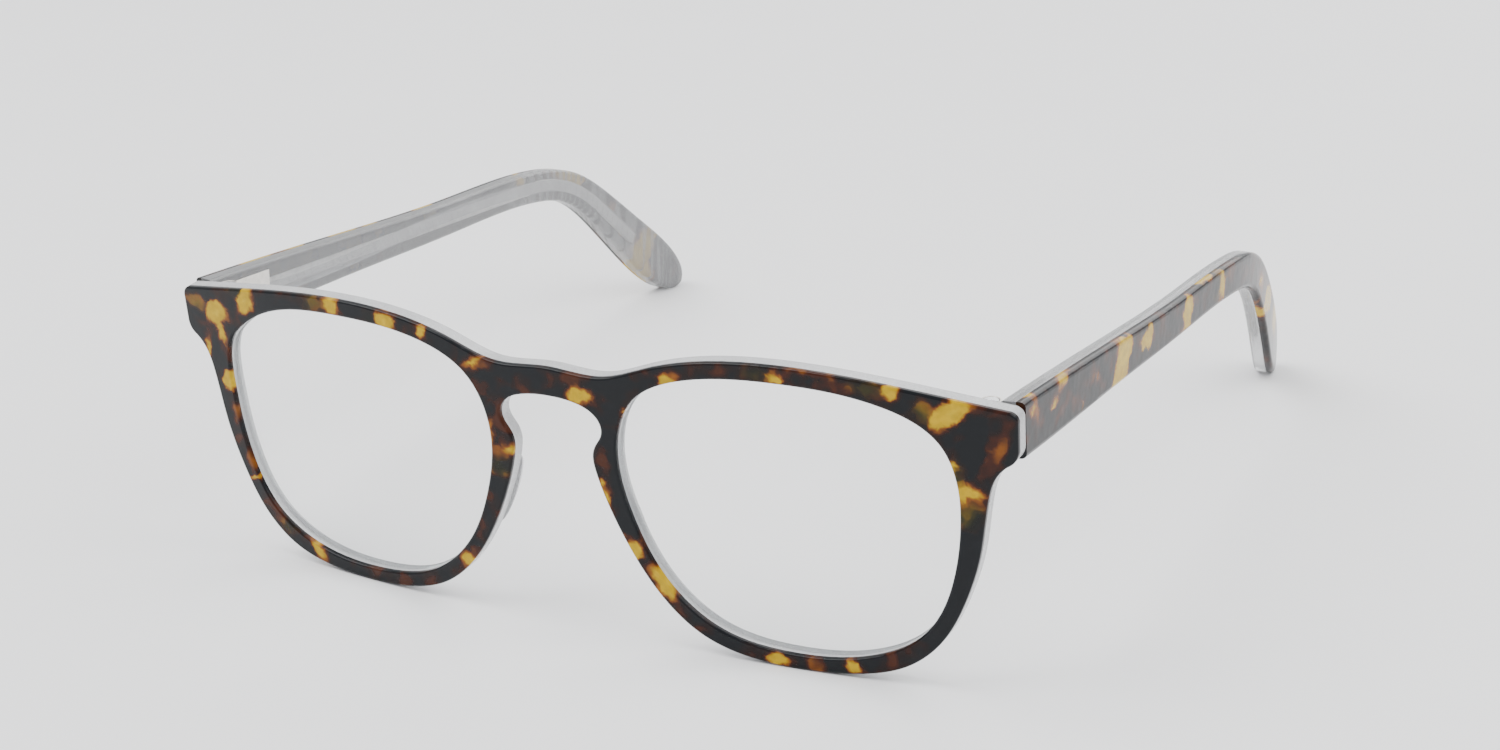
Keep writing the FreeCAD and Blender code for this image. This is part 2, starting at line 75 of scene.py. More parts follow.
def temple_frame(side):
    """The temple's own frame: origin on the hinge axis, y along the shaft, x outwards on the left."""
    sign = SIDES[side]
    corner = Vector((sign * HINGE.x, HINGE.y, HINGE.z)) * MM
    return FRONT @ Matrix.Translation(corner) @ Matrix.Rotation(-TEMPLE_DROP, 4, "X")


# ------------------------------------------------------------------------------------------------ settings


class AcetateSettings(bpy.types.PropertyGroup):
    """Colours of the laminate."""

    black: FloatVectorProperty(
        name="Smoke black",
        description="The tortoise's dark ground",
        subtype="COLOR",
        default=(0.0032, 0.0042, 0.0058),
    )
    umber: FloatVectorProperty(
        name="Umber",
        description="The outer halo, nearly black",
        subtype="COLOR",
        default=(0.0105, 0.0034, 0.0024),
    )
    russet: FloatVectorProperty(
        name="Russet",
        description="The halo where amber fades into black",
        subtype="COLOR",
        default=(0.036, 0.0068, 0.0018),
    )
    orange: FloatVectorProperty(
        name="Burnt orange",
        description="The rim of an amber patch",
        subtype="COLOR",
        default=(0.19, 0.058, 0.003),
    )
    amber: FloatVectorProperty(
        name="Amber", description="The body of a patch", subtype="COLOR", default=(0.43, 0.272, 0.0)
    )
    straw: FloatVectorProperty(
        name="Straw",
        description="The palest middle of a patch",
        subtype="COLOR",
        default=(0.47, 0.315, 0.006),
    )
    ochre: FloatVectorProperty(
        name="Ochre",
        description="The rim of a patch where it turns olive",
        subtype="COLOR",
        default=(0.15, 0.085, 0.002),
    )
    olive: FloatVectorProperty(
        name="Olive",
        description="The halo where it turns olive",
        subtype="COLOR",
        default=(0.026, 0.021, 0.003),
    )
    moss: FloatVectorProperty(
        name="Moss",
        description="The outer halo where it turns olive",
        subtype="COLOR",
        default=(0.0075, 0.0080, 0.0035),
    )
    crystal: FloatVectorProperty(
        name="Milky crystal",
        description="The back sheet",
        subtype="COLOR",
        default=(0.75, 0.755, 0.765),
    )
    polish: FloatProperty(
        name="Polish", description="Roughness of the tumbled surface", default=0.16, min=0.02, max=0.6
    )


class LensSettings(bpy.types.PropertyGroup):
    """Sizes of the lenses."""

    front_radius: FloatProperty(
        name="Front curve", description="Radius of the front surface", unit="LENGTH", default=0.200
    )
    back_radius: FloatProperty(
        name="Back curve", description="Radius of the back surface", unit="LENGTH", default=0.503
    )
    thickness: FloatProperty(
        name="Centre thickness",
        description="Thickness on the lens's axis",
        unit="LENGTH",
        default=0.0022,
    )
    bevel: FloatProperty(
        name="Edge bevel",
        description="How far the V edge stands into the groove",
        unit="LENGTH",
        default=0.00062,
    )
    tint: FloatVectorProperty(
        name="Coat tint",
        description="Tint of the anti-reflection coat",
        subtype="COLOR",
        default=(0.86, 0.93, 0.93),
    )


class WireSettings(bpy.types.PropertyGroup):
    """Sizes of the core wire in each temple."""

    height: FloatProperty(
        name="Height", description="Height of the flat wire", unit="LENGTH", default=0.00214
    )
    thickness: FloatProperty(
        name="Thickness", description="Thickness at the notches", unit="LENGTH", default=0.00062
    )
    rib: FloatProperty(
        name="Rib", description="How far a stamped rib stands out", unit="LENGTH", default=0.00012
    )
    ribs: IntProperty(name="Ribs", description="Stamped ribs along the wire", default=64, min=2, max=200)


class StageSettings(bpy.types.PropertyGroup):
    """The studio."""

    floor: FloatVectorProperty(
        name="Floor", description="Colour of the table", subtype="COLOR", default=(0.86, 0.86, 0.865)
    )
    distance: FloatProperty(
        name="Camera distance",
        description="Camera to the point it looks at",
        unit="LENGTH",
        default=0.378,
    )
    azimuth: FloatProperty(
        name="Azimuth",
        description="Camera turn around the glasses",
        subtype="ANGLE",
        default=math.radians(28.637),
    )
    elevation: FloatProperty(
        name="Elevation",
        description="Camera height above the table",
        subtype="ANGLE",
        default=math.radians(21.130),
    )
    roll: FloatProperty(
        name="Roll",
        description="Camera roll about its own axis",
        subtype="ANGLE",
        default=math.radians(-2.340),
    )
    lens: FloatProperty(name="Focal length", description="In millimetres, on a 36 mm sensor", default=62.4)


# --------------------------------------------------------------------------------------------- node graphs


class Term:
    """A socket that takes part in Python arithmetic by adding Math nodes."""

    def __init__(self, graph, socket):
        self.graph = graph
        self.socket = socket

    def math(self, operation, *others):
        inputs = dict(enumerate((self, *others)))
        return self.graph.node("ShaderNodeMath", {"operation": operation}, inputs)

    def __add__(self, other):
        return self.math("ADD", other)

    def __sub__(self, other):
        return self.math("SUBTRACT", other)

    def __mul__(self, other):
        return self.math("MULTIPLY", other)

    def __rsub__(self, other):
        return self.graph.node("ShaderNodeMath", {"operation": "SUBTRACT"}, {0: other, 1: self})

    __radd__ = __add__
    __rmul__ = __mul__


class Graph:
    """A node tree that is written one call at a time."""

    def __init__(self, tree):
        self.tree = tree
        self.tree.nodes.clear()

    def node(self, kind, settings=None, inputs=None, output=0):
        """Adds a node, settings first and then its sockets' values or links; returns one output."""
        made = self.tree.nodes.new(kind)
        for name, value in (settings or {}).items():
            if name == "stops":
                self._stops(made.color_ramp, value)
            else:
                setattr(made, name, value)
        for key, value in (inputs or {}).items():
            socket = made.inputs[key]
            if isinstance(value, Term):
                self.tree.links.new(value.socket, socket)
            else:
                socket.default_value = value
        return Term(self, made.outputs[output]) if made.outputs else None

    @staticmethod
    def _stops(ramp, stops):
        while len(ramp.elements) > 1:
            ramp.elements.remove(ramp.elements[-1])
        for number, (position, colour) in enumerate(stops):
            element = ramp.elements[0] if number == 0 else ramp.elements.new(position)
            element.position = position
            element.color = (*colour, 1.0)

    def vector(self, operation, *terms, output=0):
        inputs = dict(enumerate(terms))
        return self.node("ShaderNodeVectorMath", {"operation": operation}, inputs, output)

    def noise(self, place, scale, detail=3.0, roughness=0.5, output=0):
        inputs = {"Vector": place, "Scale": scale, "Detail": detail, "Roughness": roughness}
        return self.node("ShaderNodeTexNoise", {"noise_dimensions": "3D"}, inputs, output)

    def mix(self, factor, first, second, blend="MIX"):
        """A colour between two others."""
        settings = {"data_type": "RGBA", "blend_type": blend, "clamp_factor": True}
        return self.node("ShaderNodeMix", settings, {0: factor, 6: first, 7: second}, 2)

    def toned(self, colour, shade):
        """A colour made lighter or darker."""
        grey = self.node("ShaderNodeCombineColor", None, {0: shade, 1: shade, 2: shade})
        return self.mix(1.0, colour, grey, "MULTIPLY")

    def clamped(self, value, low, high, to_low=0.0, to_high=1.0):
        inputs = {0: value, 1: low, 2: high, 3: to_low, 4: to_high}
        return self.node("ShaderNodeMapRange", {"clamp": True}, inputs)


def rgba(colour):
    return (*colour, 1.0)


def new_material(name):
    material = bpy.data.materials.new(name)
    material.use_nodes = True
    return material, Graph(material.node_tree)


def surface(graph, inputs):
    """Ends a material with one shader."""
    shader = graph.node("ShaderNodeBsdfPrincipled", None, inputs)
    graph.node("ShaderNodeOutputMaterial", None, {"Surface": shader})


def millimetres(graph, turn=None):
    """Object coordinates in millimetres, turned into the front's plane where that is asked for."""
    coordinates = graph.node("ShaderNodeTexCoord", None, None, "Object")
    inputs = {"Vector": coordinates, "Scale": (1 / MM, 1 / MM, 1 / MM)}
    if turn is not None:
        inputs["Location"] = turn.translation / MM
        inputs["Rotation"] = turn.to_euler()
    return graph.node("ShaderNodeMapping", {"vector_type": "POINT"}, inputs)


# ------------------------------------------------------------------------------------------------ finishes

# How far a patch is faded: its middle looks like a bright patch's surroundings that many millimetres out.
BRIGHT, DIM, FAINT = 0.0, 0.28, 0.80
OLIVE = 0.55
PATCH_MERGE = 0.35  # how softly neighbouring patches run together
FADE_MERGE = 0.3  # the same for the flat middle of a faded patch
GLOW_FLATNESS, GLOW_MERGE = 0.5, 0.4  # the same two for an olive glow
PATCH_SPACING = 6.4  # of the scattered patches on the temples
FAINT_CROWDING = 1.3  # how much closer together the scattered faint patches are
FAINT_SIZE = 1.6
DEEP, SHALLOW = -1.5, 1.8  # the middle of a patch, and plain black: millimetres outside its edge
FRONT_CLARITY, TEMPLE_CLARITY = 0.45, 0.78  # how far light passes through the crystal

# Amber patches of the front: x, z, half length, half height, tilt in degrees, fade
PATCHES = [
    (-56.1, 43.6, 1.5, 2.3, -24, BRIGHT), (-63.0, 40.3, 2.4, 1.8, 18, BRIGHT),
    (-62.5, 37.2, 0.8, 2.0, 12, BRIGHT), (-62.1, 34.6, 0.6, 1.4, 14, DIM),
    (-67.0, 41.1, 1.5, 0.6, 0, DIM), (-66.0, 33.8, 0.6, 1.0, 0, BRIGHT),
    (-62.5, 28.9, 1.3, 1.6, 0, BRIGHT), (-62.2, 26.3, 0.6, 1.0, 0, FAINT),
    (-61.8, 23.5, 0.5, 0.9, 0, DIM), (-61.6, 17.6, 0.9, 1.2, 0, FAINT), (-60.2, 15.2, 0.4, 1.4, 14, DIM),
    (-59.8, 12.6, 1.3, 0.4, 12, BRIGHT), (-57.4, 7.8, 1.3, 0.7, -38, FAINT),
    (-54.6, 4.9, 0.9, 0.8, -20, DIM), (-47.8, 2.5, 0.8, 1.7, 32, BRIGHT),
    (-36.0, 1.0, 1.5, 0.6, 0, FAINT), (-31.4, 1.2, 1.0, 0.5, 8, FAINT), (-22.0, 2.9, 1.8, 0.6, 26, FAINT),
    (-17.1, 7.9, 1.2, 1.3, 30, BRIGHT), (-15.6, 9.6, 0.8, 0.7, 40, DIM),
    (-13.6, 12.0, 0.7, 1.4, -28, FAINT), (-12.0, 17.2, 0.8, 1.6, -22, FAINT),
    (-7.4, 28.3, 1.0, 0.5, 20, BRIGHT), (-9.6, 27.4, 1.4, 0.7, 0, DIM), (-7.3, 29.8, 0.8, 0.8, 0, FAINT),
    (-10.6, 30.0, 0.3, 1.3, 0, BRIGHT), (-8.2, 33.4, 0.8, 1.3, 0, FAINT),
    (-11.5, 37.6, 0.9, 0.5, 20, DIM), (-9.2, 38.2, 0.6, 0.4, 20, FAINT),
    (-12.2, 41.6, 1.5, 0.5, 34, BRIGHT), (-10.3, 41.9, 0.9, 0.5, -10, DIM),
    (-21.0, 44.7, 0.7, 1.2, -22, BRIGHT), (-27.5, 45.4, 1.8, 1.4, -12, BRIGHT),
    (-38.0, 46.1, 1.4, 1.3, 8, BRIGHT), (-47.4, 45.0, 0.6, 0.9, 0, FAINT),
    (-60.2, 43.6, 2.2, 0.9, 10, FAINT), (-41.2, 46.0, 1.1, 0.9, 0, FAINT),
    (-67.6, 38.8, 0.9, 1.0, 0, FAINT), (-50.8, 45.4, 1.4, 0.7, 6, FAINT),
    (5.6, 38.8, 1.9, 1.1, 14, BRIGHT), (7.6, 28.9, 0.6, 1.6, 10, FAINT), (7.9, 25.4, 0.4, 0.6, 0, BRIGHT),
    (8.5, 23.5, 0.5, 1.1, 18, BRIGHT), (12.5, 15.3, 1.2, 1.4, 20, BRIGHT), (10.9, 16.9, 0.9, 0.6, 0, DIM),
    (13.9, 12.2, 0.9, 0.9, 0, FAINT), (16.6, 10.5, 1.1, 2.8, 30, BRIGHT),
    (21.6, 5.6, 1.5, 0.7, -28, FAINT), (34.0, 1.1, 1.7, 0.9, 6, BRIGHT), (39.8, 1.4, 0.9, 1.0, 0, DIM),
    (45.3, 1.9, 0.9, 1.0, 0, BRIGHT), (46.3, 0.9, 0.6, 0.4, 0, DIM), (52.2, 4.1, 2.6, 0.9, 22, FAINT),
    (61.0, 42.9, 2.8, 1.5, 32, BRIGHT), (59.0, 41.2, 1.0, 1.2, 0, BRIGHT), (57.4, 42.4, 1.4, 1.2, 0, DIM),
    (52.4, 45.4, 1.3, 1.0, -10, BRIGHT), (50.2, 45.2, 1.3, 0.8, 0, DIM),
    (36.2, 45.4, 1.0, 0.8, 0, BRIGHT), (43.8, 45.1, 0.5, 0.7, 0, FAINT), (41.8, 46.9, 1.0, 0.3, -6, DIM),
    (19.9, 43.0, 1.4, 0.7, 22, BRIGHT), (17.6, 44.4, 1.2, 0.7, 26, FAINT),
    (22.4, 44.6, 1.3, 0.9, 16, FAINT), (26.8, 45.9, 1.9, 0.8, 8, FAINT),
    (12.7, 37.0, 0.4, 1.1, -22, BRIGHT), (67.8, 40.4, 1.1, 1.6, 0, FAINT),
    (66.6, 36.0, 0.6, 2.0, -28, DIM), (61.2, 34.8, 0.5, 0.8, 0, BRIGHT),
    (62.9, 31.2, 2.1, 0.9, -14, BRIGHT), (62.0, 30.6, 0.8, 1.3, 0, BRIGHT),
    (65.2, 30.3, 0.5, 0.9, 0, FAINT), (0.6, 40.6, 1.0, 0.7, 0, FAINT), (-2.6, 39.4, 1.4, 0.9, 0, FAINT),
    (3.6, 40.9, 1.6, 0.7, 10, FAINT),
]

# Places where the dark turns olive: x, z, half length, half height, tilt in degrees
OLIVE_GLOWS = [
    (63.0, 27.4, 1.9, 1.6, 0), (-9.2, 25.2, 1.5, 1.3, 0), (49.2, 45.3, 1.6, 0.9, 0),
    (-41.6, 45.8, 1.5, 0.9, 0), (57.0, 42.4, 1.2, 1.3, 0), (-67.4, 41.0, 1.2, 0.8, 0),
    (-57.4, 44.8, 1.6, 0.9, 0), (-54.0, 5.4, 1.1, 0.8, 0), (61.4, 33.2, 0.8, 1.8, 0),
    (33.4, 45.6, 1.2, 0.7, 0), (-30.6, 45.4, 0.9, 0.9, 0),
]


def warped(graph, place, scale, amount, detail=2.0):
    """A place shifted by smooth noise, so that edges wander."""
    wander = graph.noise(place, scale, detail, 0.55, "Color")
    centred = graph.vector("SUBTRACT", wander, (0.5, 0.5, 0.5))
    shift = graph.vector("MULTIPLY", centred, (amount, amount, amount))
    return graph.vector("ADD", place, shift)


def nearest_of(graph, place, patches):
    """Millimetres outside the nearest of some elliptical patches, negative inside it."""
    nearest = None
    for x, z, length, height, tilt in patches:
        turn = math.radians(tilt)
        along = Vector((math.cos(turn), 0, math.sin(turn))) / length
        across = Vector((-math.sin(turn), 0, math.cos(turn))) / height
        middle = Vector((x, 0, z))
        parts = [graph.vector("DOT_PRODUCT", place, axis, output="Value") for axis in (along, across)]
        flat = graph.node("ShaderNodeCombineXYZ", None, dict(enumerate(parts)))
        centre = (along.dot(middle), across.dot(middle), 0)
        size = min(length, height)
        outside = graph.vector("DISTANCE", flat, centre, output="Value").math("MULTIPLY_ADD", size, -size)
        nearest = outside if nearest is None else nearest.math("SMOOTH_MIN", outside, PATCH_MERGE)
    return nearest


def placed_patches(graph, place):
    """How far outside the front's own patches a place is, and how olive the acetate is there."""
    outside = nearest_of(graph, place, [patch for *patch, fade in PATCHES if fade == BRIGHT])
    for level in (DIM, FAINT):
        faded = nearest_of(graph, place, [patch for *patch, fade in PATCHES if fade == level])
        flattened = faded.math("SMOOTH_MAX", level, FADE_MERGE)
        outside = outside.math("SMOOTH_MIN", flattened, PATCH_MERGE)
    glow = nearest_of(graph, place, OLIVE_GLOWS)
    outside = outside.math("SMOOTH_MIN", glow.math("SMOOTH_MAX", OLIVE, GLOW_FLATNESS), GLOW_MERGE)
    return outside, graph.clamped(glow, 0.9, -0.6)


def scattered_patches(graph, place):
    """The same for a scatter of bright and faded patches of many sizes."""
    squashed = graph.vector("MULTIPLY", place, (1.0, 0.7, 1.0))
    kind = {"voronoi_dimensions": "3D", "feature": "SMOOTH_F1"}
    cells = graph.node("ShaderNodeTexVoronoi", kind, {"Vector": squashed, "Scale": 1 / PATCH_SPACING})
    size = graph.clamped(graph.noise(place, 0.085, 1.0), 0.40, 0.62, 2.8, -0.5)
    shifted = graph.vector("ADD", squashed, (31.0, 17.0, 23.0))
    crowded = FAINT_CROWDING / PATCH_SPACING
    faded = graph.node("ShaderNodeTexVoronoi", kind, {"Vector": shifted, "Scale": crowded})
    faint = (faded * (PATCH_SPACING / FAINT_CROWDING) - FAINT_SIZE).math("SMOOTH_MAX", FAINT, FADE_MERGE)
    outside = (cells * PATCH_SPACING - size).math("SMOOTH_MIN", faint, PATCH_MERGE)
    return outside, graph.clamped(graph.noise(shifted, 0.12, 1.0), 0.55, 0.68)


def tortoise_acetate(name, settings, patches, turn=None):
    """Dark acetate with amber patches that run through its thickness, polished."""
    material, graph = new_material(name)
    place = millimetres(graph, turn)
    broad = warped(graph, place, 0.42, 1.9, 1.0)
    edged = warped(graph, broad, 1.3, 0.9, 1.5)
    outside, olive = patches(graph, edged)
    spread = graph.clamped(graph.noise(place, 0.30, 1.0), 0.36, 0.64, 2.6, 0.6)
    depth = outside.math("MAXIMUM", 0.0) * spread + outside.math("MINIMUM", 0.0)
    level = graph.clamped(depth, DEEP, SHALLOW)
    ramps = []
    for halo in (
        (settings.orange, settings.russet, settings.umber),
        (settings.ochre, settings.olive, settings.moss),
    ):
        bands = zip(
            (DEEP, -0.8, -0.3, 0.08, 0.5, 1.0, SHALLOW),
            (settings.straw, settings.amber, settings.amber, *halo, settings.black),
        )
        stops = [((start - DEEP) / (SHALLOW - DEEP), colour) for start, colour in bands]
        ramps.append(graph.node("ShaderNodeValToRGB", {"stops": stops}, {0: level}))
    colour = graph.mix(olive, *ramps)
    clouds = graph.clamped(graph.noise(place, 0.8, 2.0), 0.3, 0.7, 0.82, 1.12)
    colour = graph.toned(colour, clouds)
    polish = graph.noise(place, 0.7, 4.0, 0.7) * 0.10 + (settings.polish - 0.05)
    ripple = graph.noise(place, 0.45, 1.0)
    bump = graph.node("ShaderNodeBump", None, {"Strength": 0.2, "Distance": 0.0002, "Height": ripple})
    surface(
        graph,
        {
            "Base Color": colour,
            "Roughness": polish,
            "IOR": 1.46,
            "Specular IOR Level": 0.22,
            "Normal": bump,
        },
    )
    return material


def crystal_acetate(name, settings, clarity):
    """Milky clear acetate with a fine grain."""
    material, graph = new_material(name)
    place = millimetres(graph)
    grain = graph.noise(place, 4.6, 2.0, 0.8)
    haze = graph.noise(place, 0.35, 2.0)
    shade = graph.clamped(grain * 0.85 + haze * 0.15, 0.34, 0.64, 0.74, 1.12)
    colour = graph.toned(rgba(settings.crystal), shade)
    bump = graph.node("ShaderNodeBump", None, {"Strength": 0.25, "Distance": 0.00005, "Height": grain})
    surface(
        graph,
        {
            "Base Color": colour,
            "Roughness": grain * 0.12 + (settings.polish + 0.02),
            "IOR": 1.48,
            "Transmission Weight": clarity,
            "Normal": bump,
        },
    )
    return material


def coated_lens(name, settings):
    """Clear lens: nearly all see-through face on, with a little more reflection at a slant."""
    material, graph = new_material(name)
    place = millimetres(graph)
    slant = graph.node("ShaderNodeLayerWeight", None, {"Blend": 0.18}, "Fresnel")
    smear = graph.noise(place, 0.12, 3.0)
    alpha = slant * 0.4 + (graph.clamped(smear, 0.3, 0.7) * 0.01 + 0.015)
    roughness = smear * 0.03 + 0.02
    surface(graph, {"Base Color": rgba(settings.tint), "Roughness": roughness, "IOR": 1.5, "Alpha": alpha})
    material.surface_render_method = "BLENDED"
    return material


def satin_metal(name, colour, roughness, grain_scale):
    """Metal with a fine drawn grain."""
    material, graph = new_material(name)
    place = millimetres(graph)
    drawn = graph.vector("MULTIPLY", place, (1.0, 0.12, 1.0))
    grain = graph.noise(drawn, grain_scale, 4.0, 0.7)
    tarnish = graph.clamped(graph.noise(place, 0.8, 3.0), 0.35, 0.75, 1.0, 0.82)
    bump = graph.node("ShaderNodeBump", None, {"Strength": 0.3, "Distance": 0.00002, "Height": grain})
    surface(
        graph,
        {
            "Base Color": graph.toned(rgba(colour), tarnish),
            "Metallic": 1.0,
            "Roughness": grain * 0.2 + roughness,
            "Normal": bump,
        },
    )
    return material


def plain_floor(name, colour):
    """Matt table top."""
    material, graph = new_material(name)
    place = millimetres(graph)
    mottle = graph.clamped(graph.noise(place, 0.02, 3.0), 0.3, 0.7, 0.985, 1.0)
    surface(graph, {"Base Color": graph.toned(rgba(colour), mottle), "Roughness": 0.75})
    return material


def dress(node, material):
    """Gives a CAD node its finish."""
    for slot in frame["nodes"][node].material_slots:
        slot.material = material


# -------------------------------------------------------------------------------------------- mesh helpers


def mesh_object(name, shape, material, smooth_angle=math.radians(35)):
    """A finished piece from a bmesh in metres."""
    bmesh.ops.recalc_face_normals(shape, faces=shape.faces)
    mesh = bpy.data.meshes.new(name)
    shape.to_mesh(mesh)
    shape.free()
    mesh.materials.append(material)
    mesh.set_sharp_from_angle(angle=smooth_angle)
    piece = bpy.data.objects.new(name, mesh)
    bpy.context.scene.collection.objects.link(piece)
    return piece


def closed_spline(points, count):
    """Evenly spaced places on a closed Catmull-Rom curve through the points."""
    total = len(points)
    places = []
    for number in range(count):
        at = number * total / count
        start = int(at)
        t = at - start
        a, b, c, d = (Vector(points[(start + step) % total]) for step in (-1, 0, 1, 2))
        squared = (2 * a - 5 * b + 4 * c - d) * t**2
        cubed = (3 * b - a - 3 * c + d) * t**3
        places.append(0.5 * (2 * b + (c - a) * t + squared + cubed))
    return places


def outset(loop, distance):
    """A clockwise loop moved outwards, square to itself."""
    moved = []
    for number, place in enumerate(loop):
        along = (loop[(number + 1) % len(loop)] - loop[number - 1]).normalized()
        moved.append(place + distance * Vector((-along.y, along.x)))
    return moved


def skin_rings(shape, rings, centre_front, centre_back):
    """Joins closed rings of vertices in order, and closes the first and the last onto a middle point."""
    count = len(rings[0])
    first, last = shape.verts.new(centre_front), shape.verts.new(centre_back)
    made = [[shape.verts.new(place) for place in ring] for ring in rings]
    for inner, outer in zip(made, made[1:]):
        for number in range(count):
            after = (number + 1) % count
            shape.faces.new((inner[number], inner[after], outer[after], outer[number]))
    for number in range(count):
        after = (number + 1) % count
        shape.faces.new((first, made[0][after], made[0][number]))
        shape.faces.new((last, made[-1][number], made[-1][after]))


# -------------------------------------------------------------------------------------------------- lenses

LENS_OPENING = [
    (61.7, 28.0), (60.6, 18.2), (55.9, 8.2), (46.5, 3.2), (36.0, 2.3), (25.2, 4.4), (16.8, 11.4),
    (12.2, 21.0), (10.7, 31.0), (13.9, 39.1), (22.5, 43.4), (36.5, 44.55), (50.0, 43.0), (59.2, 37.8),
]
LENS_CENTRE = Vector((36.2, 23.4))
LENS_SETBACK = 0.17  # the lens's vertex behind the front's surface
LENS_OUTLINE_STEPS = 168
LENS_RINGS = 12
EDGE_LAND = 0.3  # where the V edge starts, as a share of its height


def lens_depth(place, radius, thickness):
    """Depth of a spherical surface at a place in the front's plane, all in millimetres."""
    wrap = math.asin(LENS_CENTRE.x / SHEET_RADIUS)
    axis = Vector((-math.sin(wrap), math.cos(wrap)))
    vertex = SHEET_RADIUS * (1 - math.cos(wrap)) + LENS_SETBACK
    centre = Vector((LENS_CENTRE.x, vertex)) + axis * (thickness + radius)
    return centre.y - math.sqrt(radius**2 - (place.x - centre.x) ** 2 - (place.y - LENS_CENTRE.y) ** 2)


def edged_lens(side, settings, material):
    """One lens: two spherical faces and a V edge that sits in the rim's groove."""
    front = settings.front_radius / MM
    back = settings.back_radius / MM
    thickness = settings.thickness / MM
    bevel = settings.bevel / MM
    outline = closed_spline(LENS_OPENING, LENS_OUTLINE_STEPS)
    land = outset(outline, EDGE_LAND * bevel)
    peak = outset(outline, bevel)

    def at(place, depth):
        return FRONT @ (Vector((SIDES[side] * place.x, depth, place.y)) * MM)

    def dome(share, radius, extra):
        ring = [LENS_CENTRE + (place - LENS_CENTRE) * share for place in land]
        return [at(place, lens_depth(place, radius, extra)) for place in ring]

    shares = [math.sin(math.radians(90 * step / LENS_RINGS)) for step in range(1, LENS_RINGS + 1)]
    rings = [dome(share, front, 0.0) for share in shares]
    middle = []
    for edge, tip in zip(land, peak):
        depth = (lens_depth(edge, front, 0.0) + lens_depth(edge, back, thickness)) / 2
        middle.append(at(tip, depth))
    rings.append(middle)
    rings += [dome(share, back, thickness) for share in reversed(shares)]
    shape = bmesh.new()
    centre = at(LENS_CENTRE, lens_depth(LENS_CENTRE, front, 0.0))
    skin_rings(shape, rings, centre, at(LENS_CENTRE, lens_depth(LENS_CENTRE, back, thickness)))
    return mesh_object(f"clear_lens_{side}", shape, material)


# ---------------------------------------------------------------------------------------------- core wires

SHAFT_LENGTH = 92.0
EAR_RADIUS = 32.0
EAR_BEND = math.radians(40)
TUCK_START = 84.0
TUCK_RADIUS = 230.0
WIRE_START, WIRE_END = 4.2, 127.6
WIRE_OFFSET = 3.1  # outwards from the hinge axis
WIRE_STEPS = 120
WIRE_SECTIONS = 180
WIRE_ROUNDING = 0.22  # of its corners, as a share of its thickness
RIB_HEIGHT = 0.78  # as a share of the wire's height
RIB_WIDTH = 3  # along the wire, times how far the rib stands out
RIB_SLANT = math.radians(24)


def temple_place(distance, outwards):
    """A place on the temple's centre line, in the left temple's own frame, in millimetres."""
    past = max(0.0, distance - SHAFT_LENGTH)
    turn = min(past / EAR_RADIUS, EAR_BEND)
    straight = past - turn * EAR_RADIUS
    back = min(distance, SHAFT_LENGTH) + EAR_RADIUS * math.sin(turn) + straight * math.cos(turn)
    up = -EAR_RADIUS * (1 - math.cos(turn)) - straight * math.sin(turn)
    beyond = max(0.0, back - TUCK_START)
    reach = TUCK_RADIUS + outwards
    tuck = reach - math.sqrt(reach**2 - beyond**2)
    return Vector((outwards - tuck, back, up))


